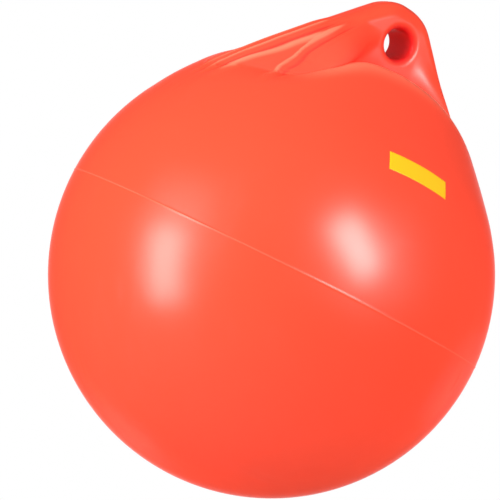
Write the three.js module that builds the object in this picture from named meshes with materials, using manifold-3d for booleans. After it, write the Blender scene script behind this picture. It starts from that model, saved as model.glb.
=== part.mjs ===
// Inflatable mooring buoy: one moulded ball that narrows to a flat rope eye,
// a rubber inflation valve pressed into its shoulder and a thin label film.
// Millimetres, +Z along the ball's axis towards the eye. The origin is the
// middle of the rope eye, X runs across the flat tab and Y through the eye.

import * as THREE from 'three';
import { mergeVertices } from 'three/addons/utils/BufferGeometryUtils.js';
import Module from 'manifold-3d';

const wasm = await Module();
wasm.setup();

const rad = THREE.MathUtils.degToRad;

// Ball
const BALL_RADIUS = 250;
const SEAM_ABOVE_CENTRE = 7;        // the mould seam lies just above the ball's centre
const SEAM_BEAD_WIDTH = 5;
const SEAM_BEAD_HEIGHT = 0.8;
const MORPH_LATITUDE = 26;          // degrees; the round ball ends and the shoulder starts

// Broad profile: the ball runs out along straight sides into a round top
const SHOULDER_LATITUDE = 37.5;     // degrees; where the broad profile leaves the ball
const SIDE_TILT = 45;               // degrees from the axis, of the straight sides
const SIDE_START = 237;             // height above the ball's centre
const TOP_RADIUS = 51.5;
const TIP_ABOVE_CENTRE = 340;

// Narrow profile: the dome ends in a brow, with a valley between it and the tab
const DOME_LATITUDE = 47;           // degrees; where the dome leaves the ball
const BROW_RADIUS = 40;
const BROW_REACH = 78;              // from the tab's mid-plane to the middle of the brow
const VALLEY_RADIUS = 14;
const BROW_DROP = 84;               // how much lower the brow lies at the tab's edges
const BROW_SWEEP = 2;               // how sharply the brow turns down towards them
const VALLEY_WIDENING = 58;         // height of the valley's fan at the tab's edges
const VALLEY_LAG = 1.7;             // above 1 the fan opens late, so the valley runs to the sides
const BROW_SQUARENESS = 0.14;       // 0 is an oval section, 1 a rounded box

// Tab and rope eye
const TAB_THICKNESS = 58;
const TAB_EDGE_RADIUS = 22.5;
const TAB_TOP_ROUND = 25;
const EYE_ABOVE_CENTRE = 294;
const EYE_THROAT_RADIUS = 17.5;
const EYE_FLARE_RADIUS = 8.5;

// Pleats down the tab's two edges. Columns of the mesh are counted from the
// edge's middle, positive towards -Y, and heights along the edge are measured
// from the ball's centre. A pleat runs from its low column through its middle
// one to its high one.
const PLEAT_LOW = 150;
const PLEAT_HIGH = 292;
const PLEATS = [
  { low: 7.6, middle: 9.2, high: 7.0, width: 1.0, height: 3.0 },
  { low: 9.0, middle: 10.6, high: 8.6, width: 1.0, height: -1.4 },
  { low: 1.6, middle: 5.4, high: 5.6, width: 1.6, height: 2.8 },
  { low: -1.0, middle: 1.0, high: 1.4, width: 1.0, height: 2.4 },
  { low: -3.6, middle: -1.8, high: -1.2, width: 1.1, height: 2.4 },
];

// Valve insert, pressed into a blind pocket in the shoulder behind the tab
const VALVE_LATITUDE = 44;          // degrees
const VALVE_FLANGE_RADIUS = 11;
const VALVE_FLANGE_THICKNESS = 2.4;
const VALVE_BARREL_RADIUS = 6.5;
const VALVE_LENGTH = 16;
const NEEDLE_HOLE_RADIUS = 1.4;
const NEEDLE_HOLE_DEPTH = 11;
const VALVE_CLEARANCE = 0.3;

// Label film, wrapped on the ball
const LABEL_LATITUDE = 38;          // degrees, of its middle
const LABEL_AZIMUTH = -2.8;         // degrees, from -Y towards +X
const LABEL_TURN = 4;               // degrees, anticlockwise as seen from outside
const LABEL_LENGTH = 77;
const LABEL_HEIGHT = 23;
const LABEL_THICKNESS = 0.4;
const LABEL_GAP = 0.3;

// Mesh density
const COLUMNS = 18;                 // in each quarter of a section
const EDGE_COLUMNS = 1;             // on the flat of the tab's narrow edge, each side
const CORNER_COLUMNS = 7;

const tabHalf = TAB_THICKNESS / 2;
const shoulderTilt = rad(SHOULDER_LATITUDE);
const sideTilt = rad(SIDE_TILT);
const topCentre = TIP_ABOVE_CENTRE - TOP_RADIUS;

// The straight side is the line x cos + z sin = sideReach, tangent to the top
const sideReach = TOP_RADIUS + topCentre * Math.sin(sideTilt);
const sideHalf = (z) => (sideReach - z * Math.sin(sideTilt)) / Math.cos(sideTilt);
const shoulder = new THREE.Vector2(
  BALL_RADIUS * Math.cos(shoulderTilt), BALL_RADIUS * Math.sin(shoulderTilt));

// Where the ball's tangent at the shoulder meets the line of the side
const bendZ = (BALL_RADIUS * Math.cos(sideTilt) - sideReach * Math.cos(shoulderTilt))
  / Math.sin(shoulderTilt - sideTilt);
const bend = new THREE.Vector2(sideHalf(bendZ), bendZ);
const shoulderCurve = new THREE.QuadraticBezierCurve(
  shoulder, bend, new THREE.Vector2(sideHalf(SIDE_START), SIDE_START));

// Half width of the broad profile at a height above the ball's centre
function broadHalf(z) {
  if (z <= shoulder.y) {
    return Math.sqrt(Math.max(0, BALL_RADIUS ** 2 - z * z));
  }
  if (z < SIDE_START) {
    let low = 0;
    let high = 1;
    for (let i = 0; i < 40; i += 1) {
      const middle = (low + high) / 2;
      if (shoulderCurve.getPoint(middle).y < z) {
        low = middle;
      } else {
        high = middle;
      }
    }
    return shoulderCurve.getPoint(low).x;
  }
  if (z <= topCentre + TOP_RADIUS * Math.sin(sideTilt)) {
    return sideHalf(z);
  }
  return Math.sqrt(Math.max(0, TOP_RADIUS ** 2 - (z - topCentre) ** 2));
}

// Narrow profile as curves in (distance from the mid-plane, height)
const domeTilt = rad(DOME_LATITUDE);
const browCentre = new THREE.Vector2(
  BROW_REACH,
  (BALL_RADIUS - BROW_RADIUS - BROW_REACH * Math.cos(domeTilt)) / Math.sin(domeTilt),
);
const valleyOut = tabHalf + VALLEY_RADIUS;
const valleyRise = Math.sqrt((BROW_RADIUS + VALLEY_RADIUS) ** 2 - (BROW_REACH - valleyOut) ** 2);
const valleyCentre = new THREE.Vector2(valleyOut, browCentre.y + valleyRise);
const browEnd = Math.atan2(valleyRise, valleyOut - BROW_REACH);

const domeCurve = new THREE.CurvePath();
domeCurve.add(new THREE.EllipseCurve(
  0, 0, BALL_RADIUS, BALL_RADIUS, rad(MORPH_LATITUDE), domeTilt, false, 0));
domeCurve.add(new THREE.LineCurve(
  new THREE.Vector2(BALL_RADIUS * Math.cos(domeTilt), BALL_RADIUS * Math.sin(domeTilt)),
  new THREE.Vector2(
    browCentre.x + BROW_RADIUS * Math.cos(domeTilt),
    browCentre.y + BROW_RADIUS * Math.sin(domeTilt)),
));
domeCurve.add(new THREE.EllipseCurve(
  browCentre.x, browCentre.y, BROW_RADIUS, BROW_RADIUS, domeTilt, Math.PI / 2, false, 0));

const valleyCurve = new THREE.CurvePath();
valleyCurve.add(new THREE.EllipseCurve(
  browCentre.x, browCentre.y, BROW_RADIUS, BROW_RADIUS, Math.PI / 2, browEnd, false, 0));
valleyCurve.add(new THREE.EllipseCurve(
  valleyCentre.x, valleyCentre.y, VALLEY_RADIUS, VALLEY_RADIUS,
  browEnd + Math.PI, Math.PI, true, 0));

// The brow's height where it reaches the tab's edges, and the tab's straight part
const browTop = browCentre.y + BROW_RADIUS;
const browSide = browTop - BROW_DROP;
const faceStart = valleyCentre.y;
const faceSide = browSide + VALLEY_WIDENING;
const roundStart = TIP_ABOVE_CENTRE - TAB_TOP_ROUND;

// One station of the loft: half width and its height, half thickness and its
// height, and how rectangular the section is
function station(broadZ, narrow, square) {
  return { a: broadHalf(broadZ), broadZ, b: narrow.x, narrowZ: narrow.y, square };
}

const stations = [];

// Round ball, from just above its bottom pole, with the seam bead as three rings
const ballLatitudes = [];
const seamLatitude = THREE.MathUtils.radToDeg(Math.asin(SEAM_ABOVE_CENTRE / BALL_RADIUS));
const beadTurn = THREE.MathUtils.radToDeg(SEAM_BEAD_WIDTH / 2 / BALL_RADIUS);
const LOWER_RINGS = 14;
for (let i = 1; i <= LOWER_RINGS; i += 1) {
  ballLatitudes.push(-90 + (i / LOWER_RINGS) * (seamLatitude - beadTurn + 90));
}
ballLatitudes.push(seamLatitude);
const UPPER_RINGS = 4;
for (let i = 0; i < UPPER_RINGS; i += 1) {
  const start = seamLatitude + beadTurn;
  ballLatitudes.push(start + (i / UPPER_RINGS) * (MORPH_LATITUDE - start));
}
for (const latitude of ballLatitudes) {
  const bead = latitude === seamLatitude ? SEAM_BEAD_HEIGHT : 0;
  const reach = BALL_RADIUS + bead;
  const z = reach * Math.sin(rad(latitude));
  const ring = station(z, new THREE.Vector2(reach * Math.cos(rad(latitude)), z), 0);
  ring.a = ring.b;
  stations.push(ring);
}

// Shoulder, from the round ball up to the brow
const SHOULDER_RINGS = 12;
const morphZ = BALL_RADIUS * Math.sin(rad(MORPH_LATITUDE));
for (let i = 0; i <= SHOULDER_RINGS; i += 1) {
  const t = i / SHOULDER_RINGS;
  const broadZ = THREE.MathUtils.lerp(morphZ, browSide, t);
  const square = BROW_SQUARENESS * THREE.MathUtils.smoothstep(t, 0.2, 1);
  stations.push(station(broadZ, domeCurve.getPoint(t), square));
}

// Valley behind the brow
const VALLEY_RINGS = 6;
for (let i = 1; i <= VALLEY_RINGS; i += 1) {
  const t = i / VALLEY_RINGS;
  const broadZ = THREE.MathUtils.lerp(browSide, faceSide, t ** VALLEY_LAG);
  const square = THREE.MathUtils.lerp(BROW_SQUARENESS, 1, t);
  stations.push(station(broadZ, valleyCurve.getPoint(t), square));
}

// Tab with flat cheeks, up to its rounded top
const FACE_RINGS = 7;
for (let i = 1; i <= FACE_RINGS; i += 1) {
  const t = i / FACE_RINGS;
  const broadZ = THREE.MathUtils.lerp(faceSide, roundStart, t);
  const narrow = new THREE.Vector2(tabHalf, THREE.MathUtils.lerp(faceStart, roundStart, t));
  stations.push(station(broadZ, narrow, 1));
}
const ROUND_RINGS = 6;
for (let i = 1; i < ROUND_RINGS; i += 1) {
  const turn = (i / ROUND_RINGS) * (Math.PI / 2);
  const z = roundStart + TAB_TOP_ROUND * Math.sin(turn);
  stations.push(station(z, new THREE.Vector2(tabHalf * Math.cos(turn), z), 1));
}

// Corner of a section in the first quarter: column 0 is at +X, the last at +Y
function quarterPoint(ring, column) {
  const angle = (column / COLUMNS) * (Math.PI / 2);
  const round = new THREE.Vector2(ring.a * Math.cos(angle), ring.b * Math.sin(angle));
  const corner = Math.min(TAB_EDGE_RADIUS, 0.78 * ring.b, 0.78 * ring.a);
  const boxed = new THREE.Vector2();
  if (column <= EDGE_COLUMNS) {
    boxed.set(ring.a, (ring.b - corner) * (column / EDGE_COLUMNS));
  } else if (column <= EDGE_COLUMNS + CORNER_COLUMNS) {
    const turn = ((column - EDGE_COLUMNS) / CORNER_COLUMNS) * (Math.PI / 2);
    boxed.set(ring.a - corner + corner * Math.cos(turn), ring.b - corner + corner * Math.sin(turn));
  } else {
    const left = COLUMNS - EDGE_COLUMNS - CORNER_COLUMNS;
    const t = (column - EDGE_COLUMNS - CORNER_COLUMNS) / left;
    boxed.set((ring.a - corner) * (1 - t), ring.b);
  }
  return round.lerp(boxed, ring.square);
}

function bump(offset, width) {
  const t = Math.abs(offset) / width;
  return t >= 1 ? 0 : (1 - t * t) ** 2;
}

// Height of the pleats at a signed column and a height along the tab's edge
function pleatHeight(column, z) {
  const along = (z - PLEAT_LOW) / (PLEAT_HIGH - PLEAT_LOW);
  if (along <= 0 || along >= 1) {
    return 0;
  }
  const fade = THREE.MathUtils.smoothstep(along, 0, 0.4)
    * (1 - THREE.MathUtils.smoothstep(along, 0.6, 1));
  return PLEATS.reduce((sum, pleat) => {
    const path = new THREE.QuadraticBezierCurve(
      new THREE.Vector2(0, pleat.low),
      new THREE.Vector2(0.5, 2 * pleat.middle - (pleat.low + pleat.high) / 2),
      new THREE.Vector2(1, pleat.high));
    return sum + fade * pleat.height * bump(column - path.getPoint(along).y, pleat.width);
  }, 0);
}

function ringPoints(ring) {
  const points = [];
  for (let i = 0; i < 4 * COLUMNS; i += 1) {
    const quarter = Math.floor(i / COLUMNS);
    const within = i - quarter * COLUMNS;
    const column = quarter % 2 === 0 ? within : COLUMNS - within;
    const p = quarterPoint(ring, column);
    const signX = quarter === 0 || quarter === 3 ? 1 : -1;
    const signY = quarter < 2 ? 1 : -1;
    const lift = pleatHeight(-signY * column, ring.broadZ);
    const share = ring.a > 0 ? Math.min(1, p.x / ring.a) : 0;
    const z = THREE.MathUtils.lerp(ring.narrowZ, ring.broadZ, share ** BROW_SWEEP);
    const out = new THREE.Vector2(p.x / ring.a ** 2, p.y / ring.b ** 2).normalize();
    points.push(new THREE.Vector3(
      signX * (p.x + lift * out.x), signY * (p.y + lift * out.y), z));
  }
  return points;
}

// Closed skin over the stations, with a point at either pole
function loft(rings, bottom, top) {
  const count = rings[0].length;
  const positions = [bottom, ...rings.flat(), top].flatMap((p) => [p.x, p.y, p.z]);
  const index = [];
  const at = (ring, column) => 1 + ring * count + (column % count);
  for (let i = 0; i < count; i += 1) {
    index.push(0, at(0, i + 1), at(0, i));
    for (let ring = 0; ring < rings.length - 1; ring += 1) {
      index.push(at(ring, i), at(ring, i + 1), at(ring + 1, i + 1));
      index.push(at(ring, i), at(ring + 1, i + 1), at(ring + 1, i));
    }
    index.push(1 + rings.length * count, at(rings.length - 1, i), at(rings.length - 1, i + 1));
  }
  const geometry = new THREE.BufferGeometry();
  geometry.setAttribute('position', new THREE.Float32BufferAttribute(positions, 3));
  geometry.setIndex(index);
  return geometry;
}

function toSolid(geometry) {
  const bare = geometry.clone();
  bare.deleteAttribute('normal');
  bare.deleteAttribute('uv');
  const merged = mergeVertices(bare, 1e-4);
  return new wasm.Manifold(new wasm.Mesh({
    numProp: 3,
    vertProperties: new Float32Array(merged.attributes.position.array),
    triVerts: new Uint32Array(merged.index.array),
  }));
}

function toGeometry(solid) {
  const mesh = solid.getMesh();
  const geometry = new THREE.BufferGeometry();
  geometry.setAttribute('position', new THREE.Float32BufferAttribute(mesh.vertProperties, 3));
  geometry.setIndex(Array.from(mesh.triVerts));
  geometry.computeVertexNormals();
  return geometry;
}

// Rope eye: a throat that flares to both cheeks along quarter-round rims
function eyeCutter() {
  const flareStop = rad(80);
  const beyond = tabHalf + 40;
  const rim = (side) => {
    const points = [];
    const steps = 4;
    for (let i = 0; i <= steps; i += 1) {
      const turn = (i / steps) * flareStop;
      points.push(new THREE.Vector2(
        EYE_THROAT_RADIUS + EYE_FLARE_RADIUS * (1 - Math.cos(turn)),
        side * (tabHalf - EYE_FLARE_RADIUS + EYE_FLARE_RADIUS * Math.sin(turn))));
    }
    const clear = points[steps].x + 0.18 * EYE_FLARE_RADIUS;
    points.push(new THREE.Vector2(clear, side * (tabHalf + 0.06 * EYE_FLARE_RADIUS)));
    points.push(new THREE.Vector2(clear, side * beyond));
    return points;
  };
  const profile = [
    new THREE.Vector2(0, -beyond),
    ...rim(-1).reverse(),
    ...rim(1),
    new THREE.Vector2(0, beyond),
  ];
  return new THREE.LatheGeometry(profile, 32);
}

// The valve lies along the ball's normal at its latitude, on the +Y side
const valveTilt = rad(VALVE_LATITUDE);
const valveSeat = new THREE.Vector3(
  0, BALL_RADIUS * Math.cos(valveTilt), BALL_RADIUS * Math.sin(valveTilt));
const valveTurn = new THREE.Quaternion().setFromUnitVectors(
  new THREE.Vector3(0, 1, 0), valveSeat.clone().normalize());

// Stepped pocket or insert about its own +Y, its mouth at height 0
function steppedLathe(grow, above, bore) {
  const points = [
    new THREE.Vector2(0, -VALVE_LENGTH - grow),
    new THREE.Vector2(VALVE_BARREL_RADIUS + grow, -VALVE_LENGTH - grow),
    new THREE.Vector2(VALVE_BARREL_RADIUS + grow, -VALVE_FLANGE_THICKNESS - grow),
    new THREE.Vector2(VALVE_FLANGE_RADIUS + grow, -VALVE_FLANGE_THICKNESS - grow),
    new THREE.Vector2(VALVE_FLANGE_RADIUS + grow, above),
  ];
  if (bore) {
    points.push(new THREE.Vector2(2.6 * NEEDLE_HOLE_RADIUS, above));
    points.push(new THREE.Vector2(NEEDLE_HOLE_RADIUS, above - 1.2));
    points.push(new THREE.Vector2(NEEDLE_HOLE_RADIUS, above - NEEDLE_HOLE_DEPTH));
    points.push(new THREE.Vector2(0, above - NEEDLE_HOLE_DEPTH));
  } else {
    points.push(new THREE.Vector2(0, above));
  }
  return new THREE.LatheGeometry(points, 28);
}

// Label film as a patch that follows the moulded skin at a fixed gap
function labelPatch(skinMesh) {
  const columns = 12;
  const rows = 4;
  const latitude = rad(LABEL_LATITUDE);
  const azimuth = rad(LABEL_AZIMUTH);
  const middle = new THREE.Vector3(
    BALL_RADIUS * Math.cos(latitude) * Math.sin(azimuth),
    -BALL_RADIUS * Math.cos(latitude) * Math.cos(azimuth),
    BALL_RADIUS * Math.sin(latitude));
  const across = new THREE.Vector3(Math.cos(azimuth), Math.sin(azimuth), 0);
  const up = middle.clone().normalize().cross(across);
  const ray = new THREE.Raycaster();
  const positions = [];
  for (const lift of [LABEL_GAP, LABEL_GAP + LABEL_THICKNESS]) {
    for (let row = 0; row <= rows; row += 1) {
      for (let column = 0; column <= columns; column += 1) {
        const spot = new THREE.Vector2(
          LABEL_LENGTH * (column / columns - 0.5), LABEL_HEIGHT * (row / rows - 0.5));
        spot.rotateAround(new THREE.Vector2(), rad(LABEL_TURN));
        const outward = middle.clone().addScaledVector(across, spot.x)
          .addScaledVector(up, spot.y).normalize();
        ray.set(new THREE.Vector3(), outward);
        const reach = ray.intersectObject(skinMesh)[0].distance + lift;
        positions.push(...outward.multiplyScalar(reach).toArray());
      }
    }
  }
  const at = (layer, row, column) => layer * (rows + 1) * (columns + 1)
    + row * (columns + 1) + column;
  const index = [];
  const quad = (p, q, r, s) => index.push(p, q, r, p, r, s);
  for (let row = 0; row < rows; row += 1) {
    for (let column = 0; column < columns; column += 1) {
      quad(at(1, row, column), at(1, row, column + 1),
        at(1, row + 1, column + 1), at(1, row + 1, column));
      quad(at(0, row, column), at(0, row + 1, column),
        at(0, row + 1, column + 1), at(0, row, column + 1));
    }
  }
  for (let column = 0; column < columns; column += 1) {
    quad(at(0, 0, column), at(0, 0, column + 1), at(1, 0, column + 1), at(1, 0, column));
    quad(at(0, rows, column + 1), at(0, rows, column), at(1, rows, column),
      at(1, rows, column + 1));
  }
  for (let row = 0; row < rows; row += 1) {
    quad(at(0, row, columns), at(0, row + 1, columns), at(1, row + 1, columns),
      at(1, row, columns));
    quad(at(0, row + 1, 0), at(0, row, 0), at(1, row, 0), at(1, row + 1, 0));
  }
  const geometry = new THREE.BufferGeometry();
  geometry.setAttribute('position', new THREE.Float32BufferAttribute(positions, 3));
  geometry.setIndex(index);
  geometry.computeVertexNormals();
  return geometry;
}

// Materials
const orangeVinyl = new THREE.MeshStandardMaterial({
  name: 'orange_vinyl', color: 0xff5436, roughness: 0.32, metalness: 0,
});
const valveRubber = new THREE.MeshStandardMaterial({
  name: 'valve_rubber', color: 0x232323, roughness: 0.6, metalness: 0,
});
const labelFilm = new THREE.MeshStandardMaterial({
  name: 'label_film', color: 0xffc400, roughness: 0.4, metalness: 0,
});

// Body: the loft, less the eye and the valve's pocket
const skin = loft(
  stations.map(ringPoints),
  new THREE.Vector3(0, 0, -BALL_RADIUS),
  new THREE.Vector3(0, 0, TIP_ABOVE_CENTRE));
const skinMesh = new THREE.Mesh(skin, new THREE.MeshBasicMaterial({ side: THREE.DoubleSide }));
const eye = eyeCutter();
eye.translate(0, 0, EYE_ABOVE_CENTRE);
const pocket = steppedLathe(VALVE_CLEARANCE, 20, false);
pocket.applyQuaternion(valveTurn);
pocket.translate(valveSeat.x, valveSeat.y, valveSeat.z);
const body = toGeometry(toSolid(skin).subtract(toSolid(eye)).subtract(toSolid(pocket)));

const group = new THREE.Group();
group.name = 'mooring_buoy';

const buoyBody = new THREE.Mesh(body, orangeVinyl);
buoyBody.name = 'buoy_body';
group.add(buoyBody);

const valveInsert = new THREE.Mesh(steppedLathe(0, 0, true), valveRubber);
valveInsert.name = 'valve_insert';
valveInsert.position.copy(valveSeat);
valveInsert.quaternion.copy(valveTurn);
group.add(valveInsert);

const label = new THREE.Mesh(labelPatch(skinMesh), labelFilm);
label.name = 'label';
group.add(label);

for (const piece of group.children) {
  piece.position.z -= EYE_ABOVE_CENTRE;
}

export default group;
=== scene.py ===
"""Looks of an inflatable mooring buoy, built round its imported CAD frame.

A soft vinyl ball is moulded in one piece with a flat rope-eye tab. It carries a mould seam
round its middle, pleats down both edges of the tab, a rubber valve and a thin label film.
The forms below are in millimetres from the ball's centre; meshes are in metres, in the frame.
"""

import logging
import math
from dataclasses import dataclass, field
from enum import Enum

import bmesh
import bpy
from mathutils import Matrix, Vector
from mathutils.bvhtree import BVHTree


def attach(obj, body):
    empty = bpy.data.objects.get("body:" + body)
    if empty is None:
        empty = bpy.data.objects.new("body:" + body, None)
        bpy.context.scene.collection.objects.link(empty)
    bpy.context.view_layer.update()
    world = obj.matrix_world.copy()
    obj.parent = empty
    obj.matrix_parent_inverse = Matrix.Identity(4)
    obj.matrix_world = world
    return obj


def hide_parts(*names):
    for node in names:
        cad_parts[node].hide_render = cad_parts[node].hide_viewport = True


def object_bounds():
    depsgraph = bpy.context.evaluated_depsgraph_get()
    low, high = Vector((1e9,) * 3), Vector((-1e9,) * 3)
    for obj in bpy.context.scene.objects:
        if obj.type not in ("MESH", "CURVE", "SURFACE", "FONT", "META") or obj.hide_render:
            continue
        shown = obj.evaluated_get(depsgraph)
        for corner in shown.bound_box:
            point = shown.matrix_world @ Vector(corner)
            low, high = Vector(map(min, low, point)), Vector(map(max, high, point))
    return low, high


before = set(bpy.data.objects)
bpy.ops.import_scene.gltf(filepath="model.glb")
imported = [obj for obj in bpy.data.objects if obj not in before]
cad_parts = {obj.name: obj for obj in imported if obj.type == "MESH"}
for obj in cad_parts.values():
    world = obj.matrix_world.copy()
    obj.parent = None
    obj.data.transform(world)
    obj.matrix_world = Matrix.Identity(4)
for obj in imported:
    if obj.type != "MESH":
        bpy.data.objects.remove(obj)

LOG = logging.getLogger("mooring_buoy")
MM = 0.001
WELD = 1e-6
Colour = tuple[float, float, float, float]
Point = tuple[float, float]
Profile = tuple[Point, ...]
CAD_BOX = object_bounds()
BODY = "root"


class LampJob(Enum):
    """What a lamp is there for."""

    FILL = "lights the surface and shows in no reflection"
    SHEEN = "shows as a soft highlight and nothing else"


class Slot(Enum):
    """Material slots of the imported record."""

    VINYL = "orange_vinyl"
    RUBBER = "valve_rubber"
    FILM = "label_film"


def mix(start: float, end: float, share: float) -> float:
    """Returns the value a share of the way from start to end."""
    return start + (end - start) * share


def ease(value: float, low: float, high: float) -> float:
    """Returns a smooth rise from 0 to 1 as value goes from low to high."""
    share = min(1.0, max(0.0, (value - low) / (high - low)))
    return share * share * (3.0 - 2.0 * share)


def quadratic(values: tuple[float, float, float], share: float) -> float:
    """Returns a quadratic Bezier curve's value a share of the way along."""
    return (
        (1 - share) ** 2 * values[0]
        + 2 * share * (1 - share) * values[1]
        + share**2 * values[2]
    )


def hump(value: float, start: float, peak: float, end: float) -> float:
    """Returns a smooth rise from 0 at start to 1 at peak, and back to 0 at end."""
    return ease(value, start, peak) * (1.0 - ease(value, peak, end))


@dataclass(frozen=True)
class Arc:
    """Arc of a circle in a plane of distance and height, between two angles."""

    centre: tuple[float, float]
    radius: float
    start: float
    end: float

    def length(self) -> float:
        """Returns the arc's length."""
        return abs(self.end - self.start) * self.radius

    def at(self, share: float) -> Point:
        """Returns the point a share of the way along."""
        turn = mix(self.start, self.end, share)
        return (
            self.centre[0] + self.radius * math.cos(turn),
            self.centre[1] + self.radius * math.sin(turn),
        )


@dataclass(frozen=True)
class Straight:
    """Straight line in a plane of distance and height."""

    start: tuple[float, float]
    end: tuple[float, float]

    def length(self) -> float:
        """Returns the line's length."""
        return math.dist(self.start, self.end)

    def at(self, share: float) -> Point:
        """Returns the point a share of the way along."""
        return (
            mix(self.start[0], self.end[0], share),
            mix(self.start[1], self.end[1], share),
        )


@dataclass(frozen=True)
class Outline:
    """Arcs and straight lines end to end, walked by share of their whole length."""

    stretches: tuple[Arc | Straight, ...]

    def at(self, share: float) -> Point:
        """Returns the point a share of the way along the whole outline."""
        left = share * sum(stretch.length() for stretch in self.stretches)
        for stretch in self.stretches[:-1]:
            if left <= stretch.length():
                return stretch.at(left / stretch.length())
            left -= stretch.length()
        last = self.stretches[-1]
        return last.at(min(1.0, left / last.length()))


@dataclass(frozen=True)
class Station:
    """One section across the buoy's axis, told by its two profiles.

    The last five values tell how fully the gusset, the pleated side's forms, the mould
    seam, the painted highlight on the brow's crest and the hollow's duller skin show in it, from 0
    to 1.
    """

    half_width: float
    side_height: float
    half_depth: float
    face_height: float
    squareness: float
    gusset: float = 0.0
    pleated: float = 0.0
    seam: float = 0.0
    crest: float = 0.0
    hollow: float = 0.0


@dataclass(frozen=True)
class Pleat:
    """Fold that runs up one edge of the tab, as a ridge or, with a height below 0, a groove.

    The path is given by how far it lies round the section from the edge's middle, at its
    low end, halfway and at its high end.
    """

    low_height: float
    high_height: float
    low_offset: float
    middle_offset: float
    high_offset: float
    width: float
    height: float
    risen: float = 0.18
    falling: float = 0.82

    def lift(self, offset: float, height: float) -> float:
        """Returns how far the fold lifts the skin.

        Args:
            offset: Distance round the section from the edge's middle.
            height: Height of the edge above the ball's centre.

        Returns:
            The lift outwards, in millimetres.
        """
        along = (height - self.low_height) / (self.high_height - self.low_height)
        if not 0.0 < along < 1.0:
            return 0.0
        bend = 2.0 * self.middle_offset - (self.low_offset + self.high_offset) / 2.0
        path = quadratic((self.low_offset, bend, self.high_offset), along)
        across = abs(offset - path) / self.width
        if across >= 1.0:
            return 0.0
        fade = ease(along, 0.0, self.risen) * (1.0 - ease(along, self.falling, 1.0))
        return fade * self.height * (1.0 - across) ** 2 * (1.0 + 2.0 * across)


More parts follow.
